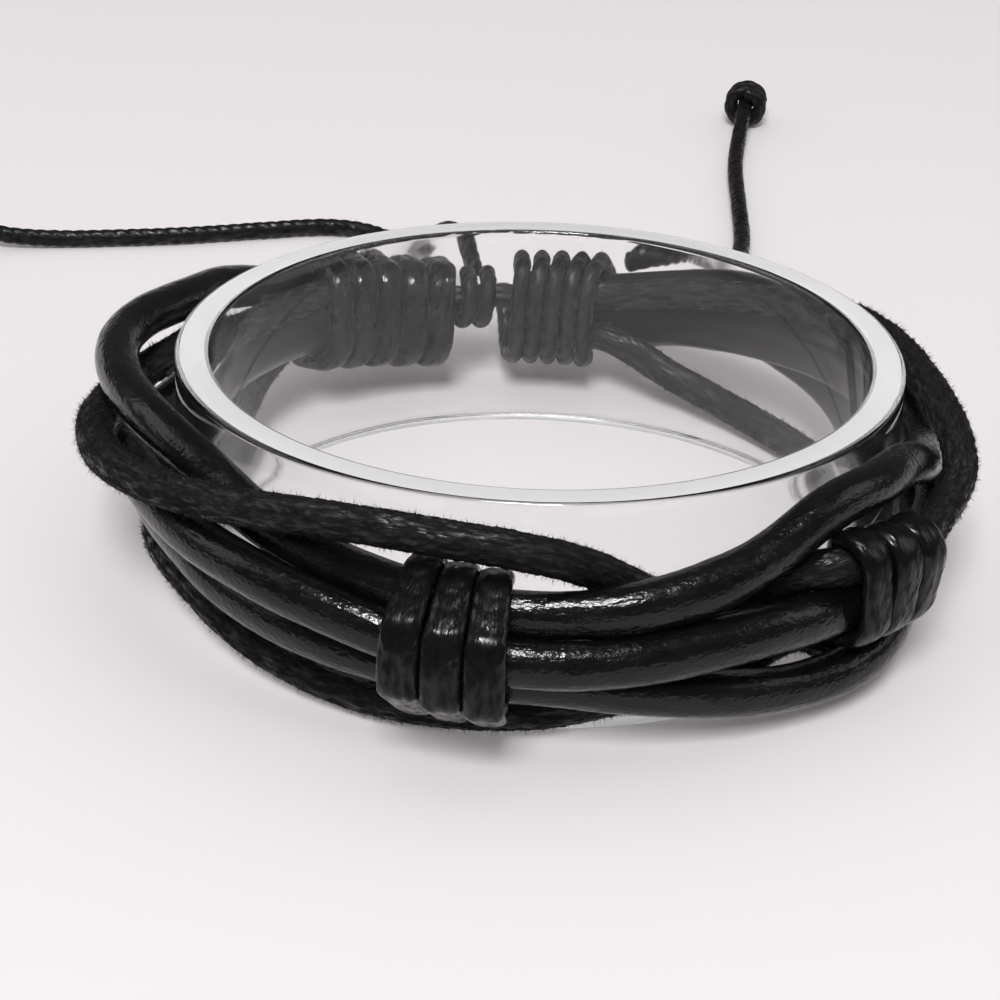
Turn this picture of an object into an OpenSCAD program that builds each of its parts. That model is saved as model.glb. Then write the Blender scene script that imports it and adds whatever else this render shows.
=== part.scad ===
// Layered leather bracelet worn by a clear display ring, in millimetres.
// Three round leather strands and two braided cotton strands cross over each other
// all the way round the ring. Flat waxed lace binds them in three places, and two
// sliding knots and two thin pull cords close the bracelet at the back.
// The origin is on the axis of the ring, at the surface that it stands on.
// The front of the bracelet faces -Y, and angles run from the front toward +X.

/* [Display ring] */
// Outside diameter of the clear ring
ring_d = 60; // [58:0.1:60]
// Wall of the clear ring
ring_wall = 2.8; // [2:0.1:4]
// Height of the clear ring
ring_h = 19; // [12:0.5:30]
// Rounding of the edges of the clear ring
ring_edge = 0.4; // [0.2:0.1:0.8]

/* [Strands] */
// Diameter of a round leather strand
leather_d = 3.5; // [3.1:0.1:3.5]
// Diameter of a braided cotton strand
cotton_d = 2.8; // [2:0.1:2.8]
// Sides of a strand's section
strand_sides = 10; // [8:1:11]
// Sections along a strand
strand_rings = 58; // [58:1:70]

/* [Lace windings] */
// Width of the waxed lace of the front winding
lace_w = 2.55; // [2:0.05:2.55]
// Thickness of the waxed lace of the front winding
lace_t = 1.2; // [1:0.05:1.2]
// Advance of that lace for each turn
lace_pitch = 2.7; // [2.6:0.05:2.8]
// Clearance between a winding and the strands inside it
lace_gap = 0.28; // [0.26:0.01:0.3]
// Width of the lace of the left end's binding, which is heavier
binding_w = 2.95; // [2:0.05:3]
// Thickness of that heavier lace
binding_t = 1.5; // [1:0.1:1.5]
// Advance of the heavier lace for each turn
binding_pitch = 3.15; // [3.15:0.05:3.6]

/* [Knots and cords] */
// Diameter of the thin closing and pull cords
cord_d = 1.7; // [1.2:0.1:1.7]
// Turns of the sliding knot on the right bundle
right_knot_turns = 5; // [3:0.5:5]
// Turns of the sliding knot on the closing cords
left_knot_turns = 2; // [1:0.5:2]
// Turns of the barrel knot at the end of a pull cord
end_knot_turns = 2.25; // [1.5:0.25:3]

/* [Hidden] */

// The strands start at the left bundle's end, go round the front and stop at the right one's end
strand_start = -164;
strand_end = 184;
// Reach at which a winding's advance is measured
bundle_reach = 36.5;
// A turn of a straight winding starts its visible side at the first share of a turn and
// leaves it after the second one; the rest of the turn moves it on behind the strands
visible_from = 0.19;
visible_for = 0.53;
// A lace is flat from this ratio of width to thickness
flat_from = 1.5;

// Columns of a strand's table
ANGLE = 0;
HEIGHT = 1;
REACH = 2;

// Upper leather: inner edge of the left loop, under the cotton, through the front winding,
// over the side winding, then inside against the ring
upper_leather = [
    [-164, 9.4, 37.4], [-152, 10.4, 37.4], [-140, 11.9, 37.3], [-131, 14.15, 36.45],
    [-124, 15.4, 35.15], [-117, 16.2, 34.2], [-110, 16.9, 33.9], [-100, 17.7, 34.4],
    [-90, 18, 34.9], [-80, 18.2, 34.6], [-70, 18.45, 34.1], [-60, 18.4, 33.8],
    [-50, 17.3, 33.2], [-42, 15.8, 33.1], [-32, 14.7, 33.8], [-21, 13.9, 34.6],
    [-10, 13.2, 35.3], [0, 12.7, 35.5], [10, 13.2, 35.9], [20, 14.05, 35.5],
    [30, 15.2, 34.2], [36, 16.5, 33.7], [41, 17.6, 33.35], [50, 17.35, 33.2],
    [56, 17, 32.7], [61, 16.4, 32], [67, 15.4, 31.98], [72, 13.9, 31.95],
    [79, 12.7, 31.92], [90, 12.2, 31.92], [110, 12, 31.95], [125, 11.4, 31.95],
    [141, 10.5, 32.05], [150, 9.4, 33.4], [158, 7.9, 36], [165, 6.4, 37.4],
    [170, 6, 37.5], [184, 6, 37.5]];

// Middle leather: low at the left end, outermost across the front, then through the side winding
middle_leather = [
    [-164, 6.9, 34], [-152, 7.9, 34], [-138, 9.1, 33.85], [-120, 9.6, 32.6],
    [-104, 9.6, 32.3], [-97, 9.7, 33], [-91, 10, 33.6], [-84, 10.8, 34.1],
    [-77, 11.8, 34.1], [-68, 13, 34.3], [-60, 13.6, 34.9], [-50, 13.5, 35.7],
    [-42, 13.5, 36.6], [-32, 13.2, 37.4], [-21, 12.3, 38], [-10, 10.9, 38.3],
    [0, 10.3, 38.3], [10, 10.1, 37.8], [20, 10.3, 36.8], [30, 10.5, 36.3],
    [36, 10.1, 35.8], [41, 9.7, 35.4], [47, 9.65, 35.5], [55, 9.6, 35.5],
    [62, 9.4, 34.2], [68, 9.2, 33.5], [78, 9, 33.4], [90, 8.9, 33.5],
    [110, 10.1, 35.4], [125, 12, 35.8], [141, 12.5, 35.7], [150, 12.6, 36.3],
    [158, 11.5, 37], [168, 9.8, 37.4], [184, 9.6, 37.4]];

// Lower leather: outer slot of both ends, lowest of the three leathers across the front
lower_leather = [
    [-164, 7.5, 40.6], [-152, 8.5, 40.6], [-140, 9.6, 40.3], [-130, 9.2, 38.2],
    [-121, 7.3, 36.1], [-112, 5.9, 33.3], [-104, 5.9, 32.4], [-92, 6.1, 32],
    [-85, 6.8, 32.1], [-77, 7.7, 32.1], [-68, 8.4, 32.2], [-58, 8.4, 32.2],
    [-50, 8.1, 32.6], [-42, 7.6, 32.9], [-30, 7.8, 34.2], [-20, 7.6, 34.8],
    [-10, 7.5, 35.2], [0, 7.5, 35.3], [8, 6.9, 35.3], [20, 5.6, 35.4],
    [30, 4.5, 35.3], [37, 3.95, 35.15], [42, 3.9, 35.25], [47, 4.1, 35.2],
    [51, 4.4, 34.9], [56, 5, 33.9], [62, 5.3, 32.8], [70, 5.2, 32.1], [80, 5.2, 32.1],
    [92, 5.6, 32.1], [110, 6.7, 32.5], [125, 8, 34.3], [141, 8.8, 35.6],
    [150, 9.2, 38.1], [158, 8.9, 39.9], [168, 7.85, 40.75], [184, 7.7, 40.75]];

// Upper cotton: bulges out at the left, lies over the front winding, dives behind the
// upper leather, passes the side winding and comes up as the top strand of the right side
upper_cotton = [
    [-164, 10.5, 33.75], [-152, 11.5, 33.75], [-140, 12.7, 33.75], [-130, 12.7, 33.2],
    [-124, 12.8, 32.7], [-112, 13.6, 32.2], [-104, 13.9, 32.3], [-98, 13.6, 33.6],
    [-91, 13.5, 35], [-84, 14, 35.6], [-77, 15, 36.3], [-70, 15.7, 37.2],
    [-62, 16, 38], [-55, 16.4, 38], [-48, 16.9, 37.8], [-40, 17.6, 37.2],
    [-33, 18.1, 36.7], [-25, 18.6, 36], [-17, 18.7, 35.7], [-10, 18.6, 35.7],
    [-3, 18.2, 35.6], [3, 16.9, 34.4], [8, 15.3, 32.9], [13, 13.3, 32.1],
    [17, 11.6, 31.9], [23, 10.9, 31.9], [30, 11, 31.9], [33, 12.4, 32.5], [38.5, 13.5, 34.9],
    [43, 13.2, 36.1], [52, 12.8, 36.5], [58, 12.85, 35.9], [63, 13, 35.4],
    [68, 13.6, 35.8], [72, 14.5, 35.6], [78, 15.6, 34.3], [86, 16.2, 32.9],
    [95, 16.2, 32.1], [110, 16.2, 32], [125, 15.6, 32.3], [141, 14.3, 32.1],
    [155, 12.8, 32.8], [168, 10.9, 33.7], [184, 10.7, 33.75]];

// Lower cotton: the bottom strand, against the foot of the ring all round the front and right
lower_cotton = [
    [-164, 6, 37.3], [-152, 7, 37.3], [-140, 7.95, 37.25], [-130, 6.2, 35.7],
    [-121, 4, 33.8], [-112, 2.6, 32.2], [-98, 2.2, 31.7], [-88, 2.6, 31.7],
    [-75, 4, 31.7], [-62, 4.7, 31.7], [-54, 4.4, 31.7], [-46, 3.5, 31.7],
    [-34, 2.6, 31.7], [-20, 2, 31.7], [-8, 2.3, 31.7], [2, 2.7, 31.7],
    [14, 4.1, 31.7], [22, 5, 31.7], [28, 5.3, 31.7], [33, 5.5, 31.7], [36, 6.4, 31.7],
    [39, 6.9, 31.7], [42, 6, 31.7], [46, 4.2, 31.7], [50, 1.8, 31.65], [60, 1.7, 31.65], [75, 1.75, 31.7], [92, 2, 31.8], [110, 1.9, 31.9],
    [126, 1.9, 32], [136, 2, 32.3], [145, 2.5, 32.7], [158, 4.1, 33.1],
    [168, 6.9, 33.8], [184, 7.1, 34]];

// The two closing cords lie side by side between the two bundles
inner_closing = [[184.4, 9.5, 35], [195.6, 9.5, 35]];
outer_closing = [[184.4, 9.5, 36.9], [195.6, 9.5, 36.9]];

// Each core that a winding can hold: its table and its radius
UPPER_LEATHER = [upper_leather, leather_d / 2];
MIDDLE_LEATHER = [middle_leather, leather_d / 2];
LOWER_LEATHER = [lower_leather, leather_d / 2];
UPPER_COTTON = [upper_cotton, cotton_d / 2];
LOWER_COTTON = [lower_cotton, cotton_d / 2];
INNER_CLOSING = [inner_closing, cord_d / 2];
OUTER_CLOSING = [outer_closing, cord_d / 2];
ALL_STRANDS = [UPPER_LEATHER, MIDDLE_LEATHER, LOWER_LEATHER, UPPER_COTTON, LOWER_COTTON];

// Hand-chosen route of the left pull cord: x, y and z of the cord's centre
cord_rest = cord_d / 2 + 0.05;
left_pull_route = [
    [-7, 39.9, 10.4], [-7.8, 43.6, 11], [-9, 48.4, 10.8], [-10.4, 53.4, 9],
    [-11.8, 58.6, 6.2], [-13.2, 63.6, 3.6], [-14.7, 67.8, 2], [-16.4, 71, 1.2],
    [-18.4, 73.4, cord_rest], [-20.8, 74.9, cord_rest], [-23.6, 75.5, cord_rest],
    [-26.6, 75.1, cord_rest], [-29.8, 74.2, cord_rest],
    [-32.7, 73.3, cord_rest], [-38.2, 71.6, cord_rest], [-43.8, 70.3, cord_rest],
    [-51, 69, cord_rest], [-57.5, 67.9, cord_rest + 0.4], [-62, 67.2, 2.3],
    [-65, 66.8, 2.7], [-70, 66.2, 2.7], [-71.6, 66, 2.6]];
// Hand-chosen route of the right pull cord
right_pull_route = [
    [8.6, 40.5, 11.4], [11.6, 42, 11.5], [14.8, 45, 10.6], [17, 49.5, 8.4],
    [18.6, 55, 6], [19.8, 61, 3.9], [20.9, 67, 2.1], [21.8, 73, 1.1],
    [22.2, 79, cord_rest], [22.3, 85, cord_rest], [22.4, 91.5, cord_rest],
    [22.5, 98, cord_rest], [22.9, 105, cord_rest], [23.6, 111.5, cord_rest + 0.4],
    [24.2, 116, 2.3], [24.6, 119, 2.7], [25.2, 124, 2.7], [25.4, 125.6, 2.6]];
// Places on those routes where the barrel knots sit
left_knot_from = left_pull_route[19];
left_knot_to = left_pull_route[20];
right_knot_from = right_pull_route[15];
right_knot_to = right_pull_route[16];

function unit(v) = v / norm(v);
// Points that go along the tube, with the two directions of its section there
function flat_of(v, t) = unit(v - (v * t) * t);
function outward(a) = [sin(a), -cos(a), 0];
function along(a) = [cos(a), sin(a), 0];
function at(table, a, column) = lookup(a, [for (row = table) [row[ANGLE], row[column]]]);
// The table's straight stretches are rounded off by a weighted mean of nearby angles
WEIGHTS = [1, 2, 3, 4, 3, 2, 1];
SPREAD = 2;
function soft(table, a, column) =
    [for (k = [0:6]) WEIGHTS[k] * at(table, a + (k - 3) * SPREAD, column)] * [for (k = [0:6]) 1] / 16;
function height(core, a) = soft(core[0], a, HEIGHT);
function reach(core, a) = soft(core[0], a, REACH);
function place(core, a) = reach(core, a) * outward(a) + [0, 0, height(core, a)];

// One closed tube through rings of points
module skin(rings) {
    m = len(rings[0]);
    n = len(rings);
    points = [for (ring = rings) each ring];
    faces = [
        [for (j = [m - 1:-1:0]) j],
        [for (j = [0:m - 1]) (n - 1) * m + j],
        for (i = [0:n - 2], j = [0:m - 1]) each [
            [i * m + j, i * m + (j + 1) % m, (i + 1) * m + (j + 1) % m],
            [i * m + j, (i + 1) * m + (j + 1) % m, (i + 1) * m + j]]];
    polyhedron(points, [for (f = faces) [for (k = [len(f) - 1:-1:0]) f[k]]]);
}

// A ring of points round p, half widths a along u and b along v
function section(p, u, v, a, b, sides) =
    [for (j = [0:sides - 1]) p + a * cos(360 * j / sides) * u + b * sin(360 * j / sides) * v];

// A round strand that follows its table
module strand(core, from = strand_start, to = strand_end, rings = strand_rings, sides = strand_sides) {
    skin([for (i = [0:rings])
        let (a = from + (to - from) * i / rings,
             p = place(core, a),
             t = unit(place(core, a + 0.5) - place(core, a - 0.5)),
             u = flat_of(outward(a), t))
        section(p, u, cross(t, u), core[1], core[1], sides)]);
}

// How far core reaches in direction d, turned from outward to upward
function support(core, a, d) = reach(core, a) * cos(d) + height(core, a) * sin(d) + core[1];
function farthest(cores, a, d, i = 0, best = 0) =
    i == len(cores) ? cores[best]
    : farthest(cores, a, d, i + 1,
               support(cores[i], a, d) > support(cores[best], a, d) ? i : best);

// Turns that a straight winding has moved on after some of them are done
function moved_on(done) =
    let (u = done - visible_from,
         k = floor(u),
         f = max(0, (u - k - visible_for) / (1 - visible_for)))
    k + f * f * (3 - 2 * f);

// A lace or cord wound tightly round some cores: w wide along them and t thick
// A flat lace narrows toward the ring as the room for its turns does
module winding(cores, middle, turns, pitch, w, t, gap, start, per_turn = 16, sides = 8, straight = false) {
    count = round(turns * per_turn);
    skin([for (i = [0:count])
        let (done = i / per_turn,
             moved = straight ? moved_on(done) - (round(turns) - 1) / 2 : done - turns / 2,
             a = middle + moved * pitch / bundle_reach * 180 / PI,
             d = start + 360 * done,
             core = farthest(cores, a, d),
             dir = cos(d) * outward(a) + [0, 0, sin(d)],
             lift = core[1] + gap + t / 2,
             wide = w > flat_from * t ? w * (reach(core, a) + lift * cos(d)) / bundle_reach : w)
        section(place(core, a) + lift * dir, dir, along(a), t / 2, wide / 2, sides)]);
}

// A cord that follows a route of points
module cord(route, d, sides = 8) {
    last = len(route) - 1;
    skin([for (i = [0:last])
        let (t = unit(route[min(i + 1, last)] - route[max(i - 1, 0)]),
             u = flat_of([0, 0, 1], t))
        section(route[i], u, cross(t, u), d / 2, d / 2, sides)]);
}

// A barrel knot: a few turns of the same cord round the end of the cord
module barrel_knot(from, to, turns, d, per_turn = 12, sides = 6) {
    t = unit(to - from);
    u = flat_of([0, 0, 1], t);
    v = cross(t, u);
    pitch = d + 0.12;
    coil_r = d + 0.14;
    count = round(turns * per_turn);
    skin([for (i = [0:count])
        let (done = i / per_turn,
             dir = cos(360 * done) * u + sin(360 * done) * v)
        section((from + to) / 2 + (done - turns / 2) * pitch * t + coil_r * dir, t, dir, d / 2, d / 2, sides)]);
}

// The clear ring: a wall with rounded edges, sharp only at the foot of its bore
module display_ring() color([0.9, 0.92, 0.93, 0.35]) {
    inner = ring_d / 2 - ring_wall;
    e = ring_edge;
    rotate_extrude($fn = 180) union() {
        translate([inner, 0]) square([ring_wall - e, ring_h - e]);
        translate([inner + e, e]) square([ring_wall - e, ring_h - 2 * e]);
        translate([inner + e, e]) square([ring_wall - 2 * e, ring_h - e]);
        translate([inner + e, ring_h - e]) circle(r = e, $fn = 32);
        translate([inner + ring_wall - e, ring_h - e]) circle(r = e, $fn = 32);
        translate([inner + ring_wall - e, e]) circle(r = e, $fn = 32);
    }
}

module leather_strand_upper() color([0.06, 0.06, 0.065]) strand(UPPER_LEATHER);
module leather_strand_middle() color([0.06, 0.06, 0.065]) strand(MIDDLE_LEATHER);
module leather_strand_lower() color([0.06, 0.06, 0.065]) strand(LOWER_LEATHER);
module cotton_strand_upper() color([0.1, 0.1, 0.105]) strand(UPPER_COTTON);
module cotton_strand_lower() color([0.1, 0.1, 0.105]) strand(LOWER_COTTON);

// Three turns round the three leathers at the front; the upper cotton lies over them
module front_wrap() color([0.09, 0.09, 0.095])
    winding([UPPER_LEATHER, MIDDLE_LEATHER, LOWER_LEATHER], -8.4, 2.8, lace_pitch,
            lace_w, lace_t, lace_gap, 220, straight = true);

// Three narrower turns round the middle leather and the upper cotton
module side_wrap() color([0.09, 0.09, 0.095])
    winding([MIDDLE_LEATHER, UPPER_COTTON], 46.6, 2.8, lace_pitch + 0.1,
            lace_w + 0.1, lace_t - 0.35, lace_gap + 0.3, 220, straight = true);

// Five turns that bind all five strands at their left end
module left_end_binding() color([0.09, 0.09, 0.095])
    winding(ALL_STRANDS, -151.9, 5, binding_pitch, binding_w, binding_t, lace_gap + 0.04, 0);

// The sliding knot that holds the right ends of all five strands
module right_sliding_knot() color([0.09, 0.09, 0.095])
    winding(ALL_STRANDS, 178.2, right_knot_turns, cord_d + 0.2, cord_d + 0.05, cord_d,
            lace_gap + 0.1, 0);

// The small sliding knot round the two closing cords
module left_sliding_knot() color([0.09, 0.09, 0.095])
    winding([INNER_CLOSING, OUTER_CLOSING], 191.1, left_knot_turns, cord_d + 0.25,
            cord_d + 0.05, cord_d, lace_gap - 0.08, 0, 14);

module closing_cord_inner() color([0.09, 0.09, 0.095])
    strand(INNER_CLOSING, 184.4, 195.6, 3, 8);
module closing_cord_outer() color([0.09, 0.09, 0.095])
    strand(OUTER_CLOSING, 184.4, 195.6, 3, 8);

module left_pull_cord() color([0.09, 0.09, 0.095]) cord(left_pull_route, cord_d);
module right_pull_cord() color([0.09, 0.09, 0.095]) cord(right_pull_route, cord_d);
module left_end_knot() color([0.09, 0.09, 0.095])
    barrel_knot(left_knot_from, left_knot_to, end_knot_turns, cord_d);
module right_end_knot() color([0.09, 0.09, 0.095])
    barrel_knot(right_knot_from, right_knot_to, end_knot_turns, cord_d);

display_ring();
leather_strand_upper();
leather_strand_middle();
leather_strand_lower();
cotton_strand_upper();
cotton_strand_lower();
front_wrap();
side_wrap();
left_end_binding();
left_sliding_knot();
right_sliding_knot();
closing_cord_inner();
closing_cord_outer();
left_pull_cord();
right_pull_cord();
left_end_knot();
right_end_knot();
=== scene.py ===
# Looks of the layered leather bracelet on its clear display ring.
# Sizes are in millimetres until a mesh is made, and angles run from the front toward +X.
import math

import bpy
import numpy as np
from mathutils import Matrix


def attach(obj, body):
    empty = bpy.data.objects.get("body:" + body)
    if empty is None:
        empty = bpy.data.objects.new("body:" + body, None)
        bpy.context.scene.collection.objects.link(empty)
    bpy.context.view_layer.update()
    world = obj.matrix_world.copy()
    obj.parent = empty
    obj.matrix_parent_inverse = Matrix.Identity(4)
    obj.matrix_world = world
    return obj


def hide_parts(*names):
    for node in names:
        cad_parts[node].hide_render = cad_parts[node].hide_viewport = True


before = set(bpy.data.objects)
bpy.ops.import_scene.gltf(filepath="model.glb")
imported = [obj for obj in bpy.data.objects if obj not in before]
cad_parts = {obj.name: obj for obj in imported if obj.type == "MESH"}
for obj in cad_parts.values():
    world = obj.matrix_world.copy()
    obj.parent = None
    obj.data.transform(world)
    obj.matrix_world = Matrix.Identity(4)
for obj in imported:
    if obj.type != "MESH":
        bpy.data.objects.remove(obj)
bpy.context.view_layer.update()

MM = 0.001
scene = bpy.context.scene

# Camera: on the object's front side, a little above it, turned as the photo's rims ask
SENSOR = 36.0
FOCAL = 93.6
CAMERA_DISTANCE = 222.98
CAMERA_ELEVATION = math.radians(27.03)
PAN, TILT, ROLL = math.radians(-0.85), math.radians(25.96), math.radians(1.77)
# Nearest and farthest distance that the camera sees, in metres
CLIP_NEAR, CLIP_FAR = 0.01, 50


def pose(x, y, z, at):
    """The matrix of an object with these axes at this place."""
    return Matrix([[x[k], y[k], z[k], at[k]] for k in range(3)] + [[0, 0, 0, 1]])


def add_camera():
    forward = np.array([math.sin(PAN) * math.cos(TILT),
                        math.cos(PAN) * math.cos(TILT),
                        -math.sin(TILT)])
    right = np.array([math.cos(PAN), -math.sin(PAN), 0.0])
    up = np.cross(right, forward)
    x = math.cos(ROLL) * right + math.sin(ROLL) * up
    y = -math.sin(ROLL) * right + math.cos(ROLL) * up
    data = bpy.data.cameras.new("photo_camera")
    data.sensor_width = SENSOR
    data.lens = FOCAL
    data.clip_start = CLIP_NEAR
    data.clip_end = CLIP_FAR
    camera = bpy.data.objects.new("photo_camera", data)
    scene.collection.objects.link(camera)
    back = CAMERA_DISTANCE * math.cos(CAMERA_ELEVATION) * MM
    height = CAMERA_DISTANCE * math.sin(CAMERA_ELEVATION) * MM
    camera.matrix_world = pose(x, y, -forward, [0, -back, height])
    scene.camera = camera


add_camera()


# Noise on a repeating lattice of random numbers, read at points in three columns
LATTICE = 32


def noise(points, seed):
    table = np.random.default_rng(seed).random((LATTICE, LATTICE, LATTICE)) * 2 - 1
    base = np.floor(points).astype(int)
    f = points - base
    f = f * f * (3 - 2 * f)
    total = 0
    for corner in range(8):
        bits = np.array([corner >> 2 & 1, corner >> 1 & 1, corner & 1])
        weight = np.prod(np.where(bits, f, 1 - f), axis=-1)
        i, j, k = np.moveaxis((base + bits) % LATTICE, -1, 0)
        total = total + weight * table[i, j, k]
    return total


# Tables of the strands, as the part's source has them: angle, height and reach.
# A value is averaged over these weights, a spread of some degrees apart, so it has no kinks
HEIGHT, REACH = 1, 2
WEIGHTS = [1, 2, 3, 4, 3, 2, 1]
SPREAD = 2
STRAND_START, STRAND_END = -164, 184
LEATHER_R, COTTON_R, CORD_R = 1.75, 1.4, 0.85

UPPER_LEATHER = [
    [-164, 9.4, 37.4], [-152, 10.4, 37.4], [-140, 11.9, 37.3], [-131, 14.15, 36.45],
    [-124, 15.4, 35.15], [-117, 16.2, 34.2], [-110, 16.9, 33.9], [-100, 17.7, 34.4],
    [-90, 18, 34.9], [-80, 18.2, 34.6], [-70, 18.45, 34.1], [-60, 18.4, 33.8],
    [-50, 17.3, 33.2], [-42, 15.8, 33.1], [-32, 14.7, 33.8], [-21, 13.9, 34.6],
    [-10, 13.2, 35.3], [0, 12.7, 35.5], [10, 13.2, 35.9], [20, 14.05, 35.5],
    [30, 15.2, 34.2], [36, 16.5, 33.7], [41, 17.6, 33.35], [50, 17.35, 33.2],
    [56, 17, 32.7], [61, 16.4, 32], [67, 15.4, 31.98], [72, 13.9, 31.95],
    [79, 12.7, 31.92], [90, 12.2, 31.92], [110, 12, 31.95], [125, 11.4, 31.95],
    [141, 10.5, 32.05], [150, 9.4, 33.4], [158, 7.9, 36], [165, 6.4, 37.4],
    [170, 6, 37.5], [184, 6, 37.5]]
MIDDLE_LEATHER = [
    [-164, 6.9, 34], [-152, 7.9, 34], [-138, 9.1, 33.85], [-120, 9.6, 32.6],
    [-104, 9.6, 32.3], [-97, 9.7, 33], [-91, 10, 33.6], [-84, 10.8, 34.1],
    [-77, 11.8, 34.1], [-68, 13, 34.3], [-60, 13.6, 34.9], [-50, 13.5, 35.7],
    [-42, 13.5, 36.6], [-32, 13.2, 37.4], [-21, 12.3, 38], [-10, 10.9, 38.3],
    [0, 10.3, 38.3], [10, 10.1, 37.8], [20, 10.3, 36.8], [30, 10.5, 36.3],
    [36, 10.1, 35.8], [41, 9.7, 35.4], [47, 9.65, 35.5], [55, 9.6, 35.5],
    [62, 9.4, 34.2], [68, 9.2, 33.5], [78, 9, 33.4], [90, 8.9, 33.5],
    [110, 10.1, 35.4], [125, 12, 35.8], [141, 12.5, 35.7], [150, 12.6, 36.3],
    [158, 11.5, 37], [168, 9.8, 37.4], [184, 9.6, 37.4]]
LOWER_LEATHER = [
    [-164, 7.5, 40.6], [-152, 8.5, 40.6], [-140, 9.6, 40.3], [-130, 9.2, 38.2],
    [-121, 7.3, 36.1], [-112, 5.9, 33.3], [-104, 5.9, 32.4], [-92, 6.1, 32],
    [-85, 6.8, 32.1], [-77, 7.7, 32.1], [-68, 8.4, 32.2], [-58, 8.4, 32.2],
    [-50, 8.1, 32.6], [-42, 7.6, 32.9], [-30, 7.8, 34.2], [-20, 7.6, 34.8],
    [-10, 7.5, 35.2], [0, 7.5, 35.3], [8, 6.9, 35.3], [20, 5.6, 35.4],
    [30, 4.5, 35.3], [37, 3.95, 35.15], [42, 3.9, 35.25], [47, 4.1, 35.2],
    [51, 4.4, 34.9], [56, 5, 33.9], [62, 5.3, 32.8], [70, 5.2, 32.1],
    [80, 5.2, 32.1], [92, 5.6, 32.1], [110, 6.7, 32.5], [125, 8, 34.3],
    [141, 8.8, 35.6], [150, 9.2, 38.1], [158, 8.9, 39.9], [168, 7.85, 40.75],
    [184, 7.7, 40.75]]
UPPER_COTTON = [
    [-164, 10.5, 33.75], [-152, 11.5, 33.75], [-140, 12.7, 33.75], [-130, 12.7, 33.2],
    [-124, 12.8, 32.7], [-112, 13.6, 32.2], [-104, 13.9, 32.3], [-98, 13.6, 33.6],
    [-91, 13.5, 35], [-84, 14, 35.6], [-77, 15, 36.3], [-70, 15.7, 37.2],
    [-62, 16, 38], [-55, 16.4, 38], [-48, 16.9, 37.8], [-40, 17.6, 37.2],
    [-33, 18.1, 36.7], [-25, 18.6, 36], [-17, 18.7, 35.7], [-10, 18.6, 35.7],
    [-3, 18.2, 35.6], [3, 16.9, 34.4], [8, 15.3, 32.9], [13, 13.3, 32.1],
    [17, 11.6, 31.9], [23, 10.9, 31.9], [30, 11, 31.9], [33, 12.4, 32.5],
    [38.5, 13.5, 34.9], [43, 13.2, 36.1], [52, 12.8, 36.5], [58, 12.85, 35.9],
    [63, 13, 35.4], [68, 13.6, 35.8], [72, 14.5, 35.6], [78, 15.6, 34.3],
    [86, 16.2, 32.9], [95, 16.2, 32.1], [110, 16.2, 32], [125, 15.6, 32.3],
    [141, 14.3, 32.1], [155, 12.8, 32.8], [168, 10.9, 33.7], [184, 10.7, 33.75]]
LOWER_COTTON = [
    [-164, 6, 37.3], [-152, 7, 37.3], [-140, 7.95, 37.25], [-130, 6.2, 35.7],
    [-121, 4, 33.8], [-112, 2.6, 32.2], [-98, 2.2, 31.7], [-88, 2.6, 31.7],
    [-75, 4, 31.7], [-62, 4.7, 31.7], [-54, 4.4, 31.7], [-46, 3.5, 31.7],
    [-34, 2.6, 31.7], [-20, 2, 31.7], [-8, 2.3, 31.7], [2, 2.7, 31.7],
    [14, 4.1, 31.7], [22, 5, 31.7], [28, 5.3, 31.7], [33, 5.5, 31.7],
    [36, 6.4, 31.7], [39, 6.9, 31.7], [42, 6, 31.7], [46, 4.2, 31.7],
    [50, 1.8, 31.65], [60, 1.7, 31.65], [75, 1.75, 31.7], [92, 2, 31.8],
    [110, 1.9, 31.9], [126, 1.9, 32], [136, 2, 32.3], [145, 2.5, 32.7],
    [158, 4.1, 33.1], [168, 6.9, 33.8], [184, 7.1, 34]]
INNER_CLOSING = [[184.4, 9.5, 35], [195.6, 9.5, 35]]
OUTER_CLOSING = [[184.4, 9.5, 36.9], [195.6, 9.5, 36.9]]

CORES = {
    "leather_strand_upper": (UPPER_LEATHER, LEATHER_R),
    "leather_strand_middle": (MIDDLE_LEATHER, LEATHER_R),
    "leather_strand_lower": (LOWER_LEATHER, LEATHER_R),
    "cotton_strand_upper": (UPPER_COTTON, COTTON_R),
    "cotton_strand_lower": (LOWER_COTTON, COTTON_R),
    "closing_cord_inner": (INNER_CLOSING, CORD_R),
    "closing_cord_outer": (OUTER_CLOSING, CORD_R),
}


def soft(table, angles, column):
    rows = np.array(table, float)
    total = 0
    for k, weight in enumerate(WEIGHTS):
        shifted = angles + (k - len(WEIGHTS) // 2) * SPREAD
        total = total + weight * np.interp(shifted, rows[:, 0], rows[:, column])
    return total / sum(WEIGHTS)


def outward_at(angles):
    turn = np.radians(angles)
    return np.stack([np.sin(turn), -np.cos(turn), np.zeros_like(turn)], -1)


def place(table, angles):
    height, reach = soft(table, angles, HEIGHT), soft(table, angles, REACH)
    turn = np.radians(angles)
    return np.stack([reach * np.sin(turn), -reach * np.cos(turn), height], -1)


def unit(v):
    return v / np.linalg.norm(v, axis=-1, keepdims=True)


def evenly(points, step, *others):
    """Lengths along the line through points, a step apart, and the points and others there."""
    along = np.concatenate([[0], np.cumsum(np.linalg.norm(np.diff(points, axis=0), axis=1))])
    at = np.linspace(0, along[-1], round(along[-1] / step) + 1)
    read = [np.stack([np.interp(at, along, column) for column in values.T], -1)
            for values in (points,) + others]
    return [at] + read


def across(points, outward):
    """The line's direction at each point and two across it, the first of them near outward."""
    tangent = unit(np.gradient(points, axis=0))
    first = unit(outward - (outward * tangent).sum(-1, keepdims=True) * tangent)
    return tangent, first, np.cross(tangent, first)


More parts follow.
